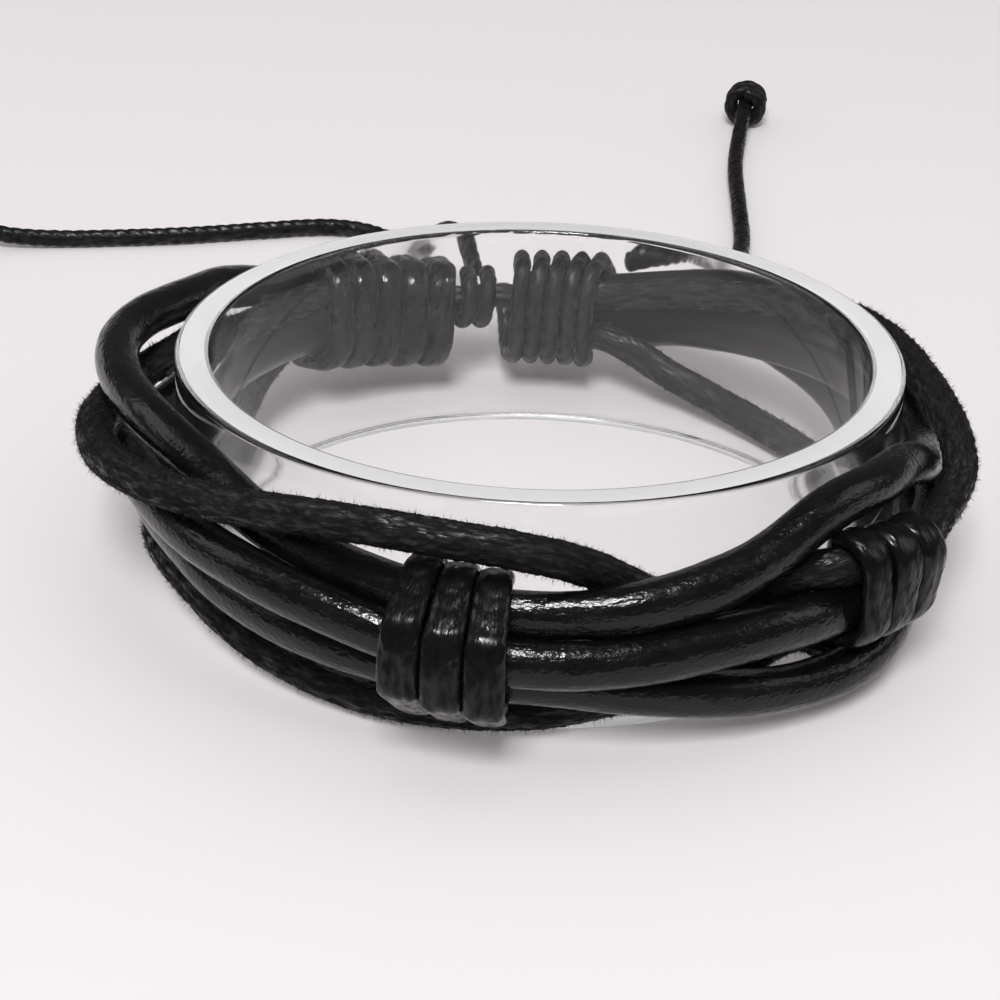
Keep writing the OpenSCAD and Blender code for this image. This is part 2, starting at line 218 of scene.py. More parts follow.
# Meshes
def mesh_object(name, points, faces, material, grain=None):
    """A smooth piece; grain holds each point's place on the straightened strand."""
    mesh = bpy.data.meshes.new(name)
    faces = [np.asarray(f, int) for f in faces]
    corners = np.concatenate([f.ravel() for f in faces])
    sizes = np.concatenate([np.full(len(f), f.shape[1]) for f in faces])
    starts = np.concatenate([[0], np.cumsum(sizes)[:-1]])
    mesh.vertices.add(len(points))
    mesh.vertices.foreach_set("co", (points * MM).astype(np.float32).ravel())
    mesh.loops.add(len(corners))
    mesh.loops.foreach_set("vertex_index", corners.astype(np.int32))
    mesh.polygons.add(len(sizes))
    mesh.polygons.foreach_set("loop_start", starts.astype(np.int32))
    mesh.polygons.foreach_set("loop_total", sizes.astype(np.int32))
    mesh.polygons.foreach_set("use_smooth", np.ones(len(sizes), bool))
    mesh.update(calc_edges=True)
    if grain is not None:
        layer = mesh.attributes.new("grain", "FLOAT_VECTOR", "POINT")
        layer.data.foreach_set("vector", grain.astype(np.float32).ravel())
    mesh.validate()
    mesh.materials.append(material)
    piece = bpy.data.objects.new(name, mesh)
    scene.collection.objects.link(piece)
    return piece


def grid_faces(n, m):
    """Outward quads of a tube of n rings with m points each, and the fans that close its ends."""
    i, j = np.meshgrid(np.arange(n - 1), np.arange(m), indexing="ij")
    k = (j + 1) % m
    quads = np.stack([i * m + j, i * m + k, (i + 1) * m + k, (i + 1) * m + j], -1).reshape(-1, 4)
    j = np.arange(m)
    k = (j + 1) % m
    first, last = n * m, n * m + 1
    fans = np.concatenate([
        np.stack([np.full(m, first), k, j], -1),
        np.stack([np.full(m, last), (n - 1) * m + j, (n - 1) * m + k], -1)])
    return quads, fans


# How far a tube's ends stand out in the middle
END_ROUND = 0.12


def tube(line, u, v, radius, turn, depth):
    """Points of a tube round a line, its radius less the depth pressed in, and its two tips."""
    cos, sin = np.cos(turn), np.sin(turn)
    reach_u = (radius - depth) * cos
    reach_v = (radius - depth) * sin
    rings = line[:, None] + reach_u[..., None] * u[:, None] + reach_v[..., None] * v[:, None]
    tangent = unit(np.gradient(line, axis=0))
    tips = np.stack([line[0] - END_ROUND * tangent[0], line[-1] + END_ROUND * tangent[-1]])
    return np.concatenate([rings.reshape(-1, 3), tips])


def grain_of(along, u, v):
    """Places on the straightened strand: the length along it, and u and v across it."""
    shape = (len(along), u.shape[-1])
    return np.stack([np.broadcast_to(values, shape) for values in (along[:, None], u, v)], -1)


# Fuzz. A hair's root stands in the strand, its tip stays above the floor, and a tuft's roots
# stray from its middle by some rings and sides
ROOT_DEPTH = 0.1
FLOOR_CLEARANCE = 0.03
TUFT_RINGS, TUFT_SIDES = 1.3, 1.1
# Least share of a hair's length and width, and what chance adds to it
SHORTEST, LONGER = 0.4, 1.1
THINNEST, THICKER = 0.7, 0.6
# How much a hair leans with its tuft, and on its own
TUFT_LEAN, OWN_LEAN = 0.6, 0.7


def tufts(rng, rings, sides, count, size):
    """Vertex numbers of hair roots, in little tufts, and one lean for each tuft."""
    middle_ring = np.repeat(rng.integers(2, rings - 2, count // size), size)
    middle_side = np.repeat(rng.integers(0, sides, count // size), size)
    n = len(middle_ring)
    ring = middle_ring + np.rint(rng.normal(size=n) * TUFT_RINGS).astype(int)
    side = (middle_side + np.rint(rng.normal(size=n) * TUFT_SIDES).astype(int)) % sides
    lean = np.repeat(rng.normal(size=(count // size, 3)), size, axis=0)
    return np.clip(ring, 0, rings - 1), side, lean


def hairs(rng, roots, normals, lean, length, width, spread):
    """Fine fibres that stand on a surface: three-sided spikes."""
    n = len(roots)
    side = unit(np.cross(normals, rng.normal(size=(n, 3))))
    other = np.cross(normals, side)
    reach = length * (SHORTEST + LONGER * rng.random(n)[:, None] ** 2)
    way = unit(normals + spread * (TUFT_LEAN * lean + OWN_LEAN * rng.normal(size=(n, 3))))
    thick = width * (THINNEST + THICKER * rng.random(n)[:, None])
    points = np.zeros((n, 4, 3))
    for k in range(3):
        a = 2 * math.pi * k / 3
        foot = roots - ROOT_DEPTH * normals
        points[:, k] = foot + thick * (math.cos(a) * side + math.sin(a) * other)
    points[:, 3] = roots + reach * way
    points[..., 2] = np.maximum(points[..., 2], FLOOR_CLEARANCE)
    tris = np.array([[k, (k + 1) % 3, 3] for k in range(3)] + [[2, 1, 0]])
    start = np.arange(n)[:, None, None] * 4
    return points.reshape(-1, 3), (tris[None] + start).reshape(-1, 3)


def with_hairs(points, faces, grain, seed, u, v, turn, count, size, length, width, spread):
    """A tube's points, faces and grain with fuzz: count hairs in tufts of some size."""
    rng = np.random.default_rng(seed)
    ring, side, lean = tufts(rng, len(u), len(turn), count, size)
    normals = unit(np.cos(turn[side])[:, None] * u[ring] + np.sin(turn[side])[:, None] * v[ring])
    pick = ring * len(turn) + side
    hair_points, tris = hairs(rng, points[pick], normals, lean, length, width, spread)
    return (np.concatenate([points, hair_points]), list(faces) + [tris + len(points)],
            np.concatenate([grain, np.repeat(grain[pick], 4, axis=0)]))


# Materials
def nodes_of(name):
    material = bpy.data.materials.new(name)
    material.use_nodes = True
    tree = material.node_tree
    return material, tree, tree.nodes["Principled BSDF"]


def new(tree, kind, **values):
    node = tree.nodes.new(kind)
    for key, value in values.items():
        if key.startswith("in_"):
            node.inputs[int(key[3:])].default_value = value
        else:
            setattr(node, key, value)
    return node


def grain_noise(tree, stretch, scale, detail, roughness=0.5):
    """Noise on the straightened strand: scale cells a millimetre, longer by stretch along it."""
    source = new(tree, "ShaderNodeAttribute", attribute_name="grain")
    squeeze = new(tree, "ShaderNodeVectorMath", operation="MULTIPLY")
    squeeze.inputs[1].default_value = (scale / stretch, scale, scale)
    pattern = new(tree, "ShaderNodeTexNoise", noise_dimensions="3D")
    pattern.inputs["Scale"].default_value = 1.0
    pattern.inputs["Detail"].default_value = detail
    pattern.inputs["Roughness"].default_value = roughness
    tree.links.new(source.outputs["Vector"], squeeze.inputs[0])
    tree.links.new(squeeze.outputs[0], pattern.inputs["Vector"])
    return pattern.outputs["Fac"]


def ramp(tree, fac, low, high, colours):
    """From the first colour, where fac is low, to the second, where it is high."""
    node = new(tree, "ShaderNodeValToRGB")
    node.color_ramp.elements[0].position = low
    node.color_ramp.elements[1].position = high
    node.color_ramp.elements[0].color = (*colours[0], 1)
    node.color_ramp.elements[1].color = (*colours[1], 1)
    tree.links.new(fac, node.inputs[0])
    return node.outputs["Color"]


def between(tree, fac, low, high, to_low, to_high):
    """From to_low, where fac is low, to to_high, where it is high."""
    node = new(tree, "ShaderNodeMapRange", in_1=low, in_2=high, in_3=to_low, in_4=to_high)
    tree.links.new(fac, node.inputs[0])
    return node.outputs[0]


def bump(tree, height, distance, under=None):
    """Relief some millimetres deep, on top of the relief under it."""
    node = new(tree, "ShaderNodeBump")
    node.inputs["Strength"].default_value = 1.0
    node.inputs["Distance"].default_value = distance * MM
    tree.links.new(height, node.inputs["Height"])
    if under is not None:
        tree.links.new(under, node.inputs["Normal"])
    return node.outputs["Normal"]


def feed(tree, shader, **outputs):
    """Leads node outputs into the shader's inputs of the same names."""
    for name, output in outputs.items():
        tree.links.new(output, shader.inputs[name.replace("_", " ")])


LEATHER_TONES = (0.0018, 0.0017, 0.0021), (0.0045, 0.0042, 0.0047)
COTTON_TONES = (0.002, 0.0018, 0.0021), (0.006, 0.0056, 0.006)
LACE_TONES = (0.0025, 0.0024, 0.0028), (0.005, 0.0047, 0.0051)
CORD_TONES = (0.004, 0.0037, 0.004), (0.01, 0.0094, 0.0098)


def leather_material():
    material, tree, shader = nodes_of("black_leather")
    tone = grain_noise(tree, stretch=3.0, scale=0.9, detail=3)
    feed(tree, shader, Base_Color=ramp(tree, tone, 0.3, 0.7, LEATHER_TONES))
    rubbed = grain_noise(tree, stretch=2.0, scale=1.6, detail=2)
    feed(tree, shader, Roughness=between(tree, rubbed, 0.35, 0.65, 0.15, 0.27))
    coarse = bump(tree, grain_noise(tree, stretch=3.0, scale=1.5, detail=2), 0.09)
    pebbles = bump(tree, grain_noise(tree, stretch=1.6, scale=3.6, detail=2), 0.06, coarse)
    feed(tree, shader, Normal=pebbles)
    shader.inputs["Specular IOR Level"].default_value = 0.3
    return material


def cotton_material():
    material, tree, shader = nodes_of("black_cotton")
    tone = grain_noise(tree, stretch=1.5, scale=2.2, detail=3, roughness=0.6)
    feed(tree, shader, Base_Color=ramp(tree, tone, 0.3, 0.75, COTTON_TONES))
    waxed = grain_noise(tree, stretch=4.0, scale=2.4, detail=2)
    feed(tree, shader, Roughness=between(tree, waxed, 0.43, 0.65, 0.8, 0.32))
    feed(tree, shader, Specular_IOR_Level=between(tree, waxed, 0.43, 0.65, 0.13, 0.38))
    yarn = bump(tree, grain_noise(tree, stretch=5.0, scale=2.8, detail=1), 0.16)
    fibre = bump(tree, grain_noise(tree, stretch=4.0, scale=8.0, detail=1), 0.03, yarn)
    feed(tree, shader, Normal=fibre)
    return material


def wax_material(name, tones, rough_bare, rough_waxed):
    material, tree, shader = nodes_of(name)
    tone = grain_noise(tree, stretch=2.0, scale=1.8, detail=3)
    feed(tree, shader, Base_Color=ramp(tree, tone, 0.3, 0.7, tones))
    waxed = grain_noise(tree, stretch=2.0, scale=1.4, detail=2)
    feed(tree, shader, Roughness=between(tree, waxed, 0.35, 0.65, rough_bare, rough_waxed))
    feed(tree, shader, Specular_IOR_Level=between(tree, waxed, 0.38, 0.64, 0.07, 0.28))
    fibre = bump(tree, grain_noise(tree, stretch=3.0, scale=3.0, detail=2), 0.08)
    feed(tree, shader, Normal=fibre)
    return material


def let_lamps_through(tree, shader):
    """Clear plastic doesn't hold back light on its way to the floor and the strands."""
    path = new(tree, "ShaderNodeLightPath")
    through = new(tree, "ShaderNodeBsdfTransparent")
    surface = shader.outputs[0]
    for kind in ("Is Diffuse Ray", "Is Shadow Ray"):
        mix = new(tree, "ShaderNodeMixShader")
        tree.links.new(path.outputs[kind], mix.inputs[0])
        tree.links.new(surface, mix.inputs[1])
        tree.links.new(through.outputs[0], mix.inputs[2])
        surface = mix.outputs[0]
    tree.links.new(surface, tree.nodes["Material Output"].inputs["Surface"])


def clear_material():
    material, tree, shader = nodes_of("clear_plastic")
    shader.inputs["Base Color"].default_value = (0.985, 0.985, 0.985, 1)
    shader.inputs["Transmission Weight"].default_value = 1.0
    shader.inputs["Roughness"].default_value = 0.05
    shader.inputs["IOR"].default_value = 1.42
    shader.inputs["Specular IOR Level"].default_value = 0.3
    let_lamps_through(tree, shader)
    return material


def rim_material():
    """The sawn top and foot of the ring, which are duller and whiter than its walls."""
    material, tree, shader = nodes_of("clear_plastic_rim")
    shader.inputs["Base Color"].default_value = (0.9, 0.9, 0.9, 1)
    shader.inputs["Transmission Weight"].default_value = 0.3
    shader.inputs["Roughness"].default_value = 0.35
    shader.inputs["IOR"].default_value = 1.49
    let_lamps_through(tree, shader)
    return material


LEATHER = leather_material()
COTTON = cotton_material()
LACE = wax_material("waxed_lace", LACE_TONES, 0.36, 0.15)
CORD = wax_material("waxed_cord", CORD_TONES, 0.5, 0.3)
CLEAR = clear_material()
CLEAR_RIM = rim_material()


def add(piece, node):
    """Puts a piece in the place of its node."""
    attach(piece, "root")
    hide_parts(node)


# Thin cords: plies twisted together, lightly waxed
PLIES = 3
PLY_TURN = 4.2
PLY_DEPTH = 0.13
CORD_LUMPS = 0.03
CORD_SIDES = 27
CORD_STEP = 0.2


def round_turn(sides):
    return np.linspace(0, 2 * math.pi, sides, endpoint=False)


def twisted_depth(along, turn):
    phase = PLIES / 2 * (turn[None] - 2 * math.pi * along[:, None] / PLY_TURN)
    return PLY_DEPTH * (1 - np.abs(np.cos(phase)) ** 0.7)


def twisted_cord(name, line, outward, radius, seed, fuzz=0):
    turn = round_turn(CORD_SIDES)
    along, line, outward = evenly(line, CORD_STEP, outward)
    _, u, v = across(line, outward)
    grain = grain_of(along, radius * np.cos(turn), radius * np.sin(turn))
    lumps = noise(grain * [0.6, 1.6, 1.6], seed)
    depth = twisted_depth(along, turn) + CORD_LUMPS * (1 + lumps)
    points = tube(line, u, v, radius, turn, depth)
    grain = grain.reshape(-1, 3)
    grain = np.concatenate([grain, grain[:1], grain[-1:]])
    faces = grid_faces(len(along), CORD_SIDES)
    if fuzz:
        points, faces, grain = with_hairs(points, faces, grain, seed, u, v, turn,
                                          fuzz, size=2, length=0.35, width=0.018, spread=0.7)
    return mesh_object(name + "_twisted", points, faces, CORD, grain), line


PER_SPAN = 10


def through(route):
    """A smooth line through the points of a route, by Catmull-Rom splines."""
    p = np.array(route, float)
    p = np.concatenate([[2 * p[0] - p[1]], p, [2 * p[-1] - p[-2]]])
    t = np.linspace(0, 1, PER_SPAN, endpoint=False)[:, None]
    spans = []
    for a, b, c, d in zip(p[:-3], p[1:-2], p[2:-1], p[3:]):
        square, cube = 2 * a - 5 * b + 4 * c - d, 3 * b - a - 3 * c + d
        spans.append(0.5 * (2 * b + (c - a) * t + square * t ** 2 + cube * t ** 3))
    return np.concatenate(spans + [p[-2:-1]])


# Pull cords, whose routes the part's source has too; a cord at rest keeps this height
CORD_REST = CORD_R + 0.05
LEFT_ROUTE = [
    [-7, 39.9, 10.4], [-7.8, 43.6, 11], [-9, 48.4, 10.8], [-10.4, 53.4, 9],
    [-11.8, 58.6, 6.2], [-13.2, 63.6, 3.6], [-14.7, 67.8, 2], [-16.4, 71, 1.2],
    [-18.4, 73.4, CORD_REST], [-20.8, 74.9, CORD_REST], [-23.6, 75.5, CORD_REST],
    [-26.6, 75.1, CORD_REST], [-29.8, 74.2, CORD_REST],
    [-32.7, 73.3, CORD_REST], [-38.2, 71.6, CORD_REST], [-43.8, 70.3, CORD_REST],
    [-51, 69, CORD_REST], [-57.5, 67.9, CORD_REST + 0.4], [-62, 67.2, 2.3],
    [-65, 66.8, 2.7], [-70, 66.2, 2.7], [-71.6, 66, 2.6]]
RIGHT_ROUTE = [
    [8.6, 40.5, 11.4], [11.6, 42, 11.5], [14.8, 45, 10.6], [17, 49.5, 8.4],
    [18.6, 55, 6], [19.8, 61, 3.9], [20.9, 67, 2.1], [21.8, 73, 1.1],
    [22.2, 79, CORD_REST], [22.3, 85, CORD_REST], [22.4, 91.5, CORD_REST],
    [22.5, 98, CORD_REST], [22.9, 105, CORD_REST], [23.6, 111.5, CORD_REST + 0.4],
    [24.2, 116, 2.3], [24.6, 119, 2.7], [25.2, 124, 2.7], [25.4, 125.6, 2.6]]
# The point of each route where its end knot begins, counted from 0
LEFT_KNOT_AT, RIGHT_KNOT_AT = 19, 15
# How much larger a slack pull cord's radius is than its solid's
CORD_SWELL = 0.1
# The end knot's turns, the points of its line, and its clearances beside the next turn and
# round the cord
END_KNOT_TURNS = 2.25
KNOT_POINTS = 160
KNOT_BESIDE, KNOT_ROUND = 0.12, 0.14
# Hairs on a pull cord and on its knot
CORD_FUZZ, KNOT_FUZZ = 900, 60
UP = np.array([0.0, 0.0, 1.0])


def end_knot(name, start, end, seed):
    start, end = np.array(start, float), np.array(end, float)
    t = unit(end - start)
    u = unit(UP - (UP @ t) * t)
    v = np.cross(t, u)
    done = np.linspace(0, END_KNOT_TURNS, KNOT_POINTS)[:, None]
    spoke = np.cos(2 * math.pi * done) * u + np.sin(2 * math.pi * done) * v
    forward = (done - END_KNOT_TURNS / 2) * (2 * CORD_R + KNOT_BESIDE) * t
    line = (start + end) / 2 + forward + (2 * CORD_R + KNOT_ROUND) * spoke
    return twisted_cord(name, line, spoke, CORD_R, seed, KNOT_FUZZ)[0]


def pull_cord(name, route, knot, knot_at, seed):
    line = through(route)
    line[:, 2] = np.maximum(line[:, 2], CORD_REST)
    piece, line = twisted_cord(name, line + CORD_SWELL * UP, np.broadcast_to(UP, line.shape),
                               CORD_R + CORD_SWELL, seed, CORD_FUZZ)
    line = line - CORD_SWELL * UP
    add(piece, name)
    knot_piece = end_knot(knot, route[knot_at], route[knot_at + 1], seed + 1)
    add(knot_piece, knot)


pull_cord("left_pull_cord", LEFT_ROUTE, "left_end_knot", LEFT_KNOT_AT, 11)
pull_cord("right_pull_cord", RIGHT_ROUTE, "right_end_knot", RIGHT_KNOT_AT, 21)


# Strands. Their places in the noise of a material are this far apart for each unit of seed
GRAIN_SHIFT = 7.0
LINE_POINTS = 4000


def strand_line(table, step, start=STRAND_START, end=STRAND_END):
    angles = np.linspace(start, end, LINE_POINTS)
    return evenly(place(table, angles), step, outward_at(angles), angles[:, None])


def swollen(radius, swell, angles):
    """The radius at each angle, with the swell's rows of angle and what is added there."""
    swell = np.array(swell)
    return (radius + np.interp(angles[:, 0], swell[:, 0], swell[:, 1]))[:, None]


def shifted_grain(grain, seed):
    """The grain of a strand's points and its two tips, moved on in the noise by the seed."""
    return np.concatenate([grain.reshape(-1, 3) + [seed * GRAIN_SHIFT, 0, 0], np.zeros((2, 3))])


# How much larger a leather's radius is than its solid's, by the angle: the strands lie
# closer together right of the front winding
LEATHER_SWELL = {
    "leather_strand_upper": [[6, 0.09], [12, 0.28], [22, 0.28], [28, 0.09]],
    "leather_strand_middle": [[8, 0.09], [14, 0.2], [34, 0.24], [38, 0.15], [40, 0.09]],
    "leather_strand_lower": [[-164, 0.09]]}
LEATHER_SIDES = 40
LEATHER_STEP = 0.35
# Depths of the leather's lumps, its lengthwise creases, and its cross creases where it is
# straight and for each unit of its bend
LUMP_DEPTH, CREASE_DEPTH = 0.05, 0.022
CROSS_STRAIGHT, CROSS_BENT = 0.006, 0.125
# Least and greatest depth of the whole relief
LEATHER_RELIEF = -0.01, 0.3


def leather_strand(name, seed):
    table, radius = CORES[name]
    turn = round_turn(LEATHER_SIDES)
    along, line, outward, angles = strand_line(table, LEATHER_STEP)
    tangent, u, v = across(line, outward)
    thick = swollen(radius, LEATHER_SWELL[name], angles)
    grain = grain_of(along, radius * np.cos(turn), radius * np.sin(turn))
    lumps = noise(grain * [0.22, 0.55, 0.55], seed)
    creases = np.clip(noise(grain * [0.5, 2.1, 2.1], seed + 1), -1, 0.4)
    cross = np.clip(noise(grain * [1.5, 0.6, 0.6], seed + 2), -1, 0.2)
    bend = np.linalg.norm(np.gradient(tangent, axis=0) / LEATHER_STEP, axis=1)[:, None]
    depth = (LUMP_DEPTH * (1 - lumps) + CREASE_DEPTH * creases
             + (CROSS_STRAIGHT + CROSS_BENT * bend) * cross)
    points = tube(line, u, v, thick, turn, np.clip(depth, *LEATHER_RELIEF))
    faces = grid_faces(len(along), LEATHER_SIDES)
    piece = mesh_object(name + "_grained", points, faces, LEATHER, shifted_grain(grain, seed))
    add(piece, name)


def braid(a, b):
    """Relief of a braid, 0 in its grooves to 1 on its yarns.

    a and b count the yarns of its two sets, each growing across them.
    """
    over = (np.floor(a) + np.floor(b)) % 2 == 0
    fa, fb = a - np.floor(a) - 0.5, b - np.floor(b) - 0.5
    one = np.cos(math.pi * fa) ** 0.6 * (0.55 + 0.45 * np.cos(math.pi * fb))
    two = np.cos(math.pi * fb) ** 0.6 * (0.55 + 0.45 * np.cos(math.pi * fa))
    return np.where(over, one, two)


# How much larger a cotton's radius is than its solid's, by the angle: it is slack where it
# bulges out at the left, and it fills the side winding
COTTON_SWELL = {
    "cotton_strand_upper": [
        [-112, 0.05], [-98, 0.13], [-62, 0.13], [-45, 0.05],
        [30, 0.05], [36, 0.16], [44, 0.16], [50, 0.05]],
    "cotton_strand_lower": [[-164, 0.05]]}
COTTON_SIDES = 54
COTTON_STEP = 0.26
# Yarns round the braid, the length of one crossing, and how unevenly the yarns lie
BRAID_YARNS, BRAID_CELL, BRAID_WANDER = 12, 1.2, 0.12
BRAID_DEPTH, COTTON_LUMPS, COTTON_FRAY = 0.16, 0.04, 0.03


def cotton_strand(name, seed, fuzz):
    table, radius = CORES[name]
    turn = round_turn(COTTON_SIDES)
    along, line, outward, angles = strand_line(table, COTTON_STEP)
    _, u, v = across(line, outward)
    thick = swollen(radius, COTTON_SWELL[name], angles)
    grain = grain_of(along, radius * np.cos(turn), radius * np.sin(turn))
    wander = BRAID_WANDER * noise(grain * [0.3, 0.6, 0.6], seed)
    round_count = BRAID_YARNS * turn[None] / (2 * math.pi) + wander
    along_count = along[:, None] / BRAID_CELL
    relief = braid(round_count + along_count, round_count - along_count)
    lumps = noise(grain * [0.8, 1.0, 1.0], seed + 1)
    frayed = noise(grain * [2.4, 3.0, 3.0], seed + 2)
    depth = BRAID_DEPTH * (1 - relief) - COTTON_LUMPS * lumps - COTTON_FRAY * frayed
    points = tube(line, u, v, thick, turn, depth)
    points, faces, grain = with_hairs(points, grid_faces(len(along), COTTON_SIDES),
                                      shifted_grain(grain, seed), seed, u, v, turn,
                                      fuzz, size=3, length=0.4, width=0.03, spread=0.7)
    piece = mesh_object(name + "_braided", points, faces, COTTON, grain)
    add(piece, name)


LEATHERS = ["leather_strand_upper", "leather_strand_middle", "leather_strand_lower"]
STRANDS = LEATHERS + ["cotton_strand_upper", "cotton_strand_lower"]
CLOSING_CORDS = ["closing_cord_inner", "closing_cord_outer"]
for number, name in enumerate(LEATHERS):
    leather_strand(name, 31 + 5 * number)
cotton_strand("cotton_strand_upper", 51, fuzz=24000)
cotton_strand("cotton_strand_lower", 56, fuzz=22000)


# Windings. Their advance from turn to turn is measured at this reach
BUNDLE_REACH = 36.5
WINDING_POINTS = 1600
# A turn of a straight winding starts its visible side at the first share of a turn and
# leaves it after the second one; the rest of the turn moves it on behind the strands
VISIBLE_FROM, VISIBLE_FOR = 0.19, 0.53


def moved_on(done):
    u = done - VISIBLE_FROM
    k = np.floor(u)
    f = np.maximum(0, (u - k - VISIBLE_FOR) / (1 - VISIBLE_FOR))
    return k + f * f * (3 - 2 * f)


# A rounded winding bulges where it faces more than this away from the ring, toward the
# distance from the bundle's middle that this percentage of its line keeps within
BULGE_FROM = -0.35
BULGE_PERCENT = 92


def winding_line(names, middle, turns, pitch, thickness, gap, start=0, straight=False, rounding=0):
    """Centre of a lace or cord wound tightly round some cores.

    It comes with the directions away from the cores and along the bundle, and its reach.
    """
    done = np.linspace(0, turns, WINDING_POINTS)
    moved = moved_on(done) - (round(turns) - 1) / 2 if straight else done - turns / 2
    angles = middle + np.degrees(moved * pitch / BUNDLE_REACH)
    d = np.radians(start + 360 * done)
    reach = np.stack([soft(CORES[n][0], angles, REACH) for n in names])
    height = np.stack([soft(CORES[n][0], angles, HEIGHT) for n in names])
    radii = np.array([CORES[n][1] for n in names])[:, None]
    middle_reach, middle_height = reach.mean(0), height.mean(0)
    best = (reach * np.cos(d) + height * np.sin(d) + radii).argmax(0)
    pick = best, np.arange(len(done))
    lift = radii[best, 0] + gap + thickness / 2
    at_reach = reach[pick] + lift * np.cos(d)
    at_height = height[pick] + lift * np.sin(d)
    # The outer side bulges toward a circle round the strands
    off_reach, off_height = at_reach - middle_reach, at_height - middle_height
    far = np.hypot(off_reach, off_height)
    room = (np.percentile(far, BULGE_PERCENT) - far).clip(0)
    bulge = rounding * np.clip(off_reach / far - BULGE_FROM, 0, 1) * room
    at_reach = at_reach + bulge * off_reach / far
    at_height = at_height + bulge * off_height / far
    outward = outward_at(angles)
    spoke = np.cos(d)[:, None] * outward + np.sin(d)[:, None] * UP
    sideways = np.cross(UP, outward)
    line = at_reach[:, None] * outward + at_height[:, None] * UP
    return line, spoke, sideways, at_reach[:, None]


def smoothed(values, width):
    kernel = np.hanning(width + 2)[1:-1]
    kernel = kernel / kernel.sum()
    padded = np.pad(values, ((width // 2, width // 2), (0, 0)), mode="edge")
    return np.stack([np.convolve(column, kernel, mode="valid") for column in padded.T], -1)


# The seen lace is pulled down onto the strands, so that this much of the solid's clearance
# is left
SNUG = 0.08
# Direction in which a straight winding starts, in degrees from outward toward up
LACE_START = 220
# How many points of a winding's line, and of the way its flat side faces, are averaged
LACE_SMOOTH, FACING_SMOOTH, CORD_SMOOTH = 7, 5, 5
# The turns of a straight winding press against each other
LACE_SPREAD = 0.12
LACE_SIDES = 48
LACE_STEP = 0.18
# How square the lace's section is: 2 is an ellipse. Its ends taper over some millimetres, down
# to a share of the section
LACE_SQUARE = 2.7
LACE_TAPER, LACE_TIP = 0.9, 0.05
# Flat braid: the length of a row of yarns, and how far a yarn runs back from the middle of
# the lace for each millimetre across it
YARN_ROW, YARN_SLANT, YARN_WANDER = 1.5, 1.1, 0.35
YARN_DEPTH, LACE_LUMPS = 0.07, 0.06
# The groove along the middle of the lace: its half width, and how much shallower the yarns are
GROOVE_WIDTH, GROOVE_SHARE = 0.14, 0.6
# How much of the relief the lace's edges show
EDGE_SHARE = 0.6


def lace_winding(name, names, middle, turns, pitch, width, thickness, gap, seed, fuzz,
                 start=LACE_START, straight=True, rounding=0):
    thickness, gap = thickness + gap - SNUG, SNUG
    line, spoke, sideways, reach = winding_line(
        names, middle, turns, pitch, thickness, gap, start, straight, rounding)
    along, line, spoke, sideways, reach = evenly(line, LACE_STEP, spoke, sideways, reach)
    line = smoothed(line, LACE_SMOOTH)
    sideways = unit(sideways)
    # The lace's flat side faces away from the strands: square to its line and to the bundle's
    tangent = unit(np.gradient(line, axis=0))
    facing = np.cross(sideways, tangent)
    facing = unit(facing * np.sign((facing * spoke).sum(-1, keepdims=True)))
    spoke = unit(smoothed(facing, FACING_SMOOTH))
    # The lace narrows toward the ring as the room for its turns does
    wide = (width + (LACE_SPREAD if straight else 0)) * reach / BUNDLE_REACH
    from_end = np.minimum(along, along[-1] - along)[:, None]
    taper = np.clip(from_end / LACE_TAPER, LACE_TIP, 1) ** 0.5
    turn = round_turn(LACE_SIDES)
    cos, sin = np.cos(turn), np.sin(turn)
    power = 2 / LACE_SQUARE
    flat_u = thickness / 2 * np.sign(cos) * np.abs(cos) ** power * taper
    flat_v = wide / 2 * np.sign(sin) * np.abs(sin) ** power * taper
    grain = grain_of(along, flat_u, flat_v)
    # A flat braid: its yarns run out from the middle of the lace like a herringbone
    wander = YARN_WANDER * noise(grain * [0.5, 1.2, 1.2], seed + 1)
    rows = (along[:, None] - YARN_SLANT * np.abs(flat_v)) / YARN_ROW + wander
    groove = GROOVE_SHARE * np.exp(-(flat_v / GROOVE_WIDTH) ** 2)
    relief = np.abs(np.cos(math.pi * rows)) ** 0.5 * (1 - groove)
    lumps = noise(grain * [0.5, 0.8, 0.8], seed)
    depth = YARN_DEPTH * (1 - relief) - LACE_LUMPS * lumps
    pressed_u = flat_u * (1 - depth / (thickness / 2))
    pressed_v = flat_v * (1 - EDGE_SHARE * depth / (wide / 2))
    rings = (line[:, None] + pressed_u[..., None] * spoke[:, None]
             + pressed_v[..., None] * sideways[:, None])
    points = np.concatenate([rings.reshape(-1, 3), line[:1], line[-1:]])
    points, faces, grain = with_hairs(points, grid_faces(len(along), LACE_SIDES),
                                      shifted_grain(grain, seed), seed, spoke, sideways, turn,
                                      fuzz, size=3, length=0.22, width=0.016, spread=0.8)
    add(mesh_object(name + "_braided", points, faces, LACE, grain), name)


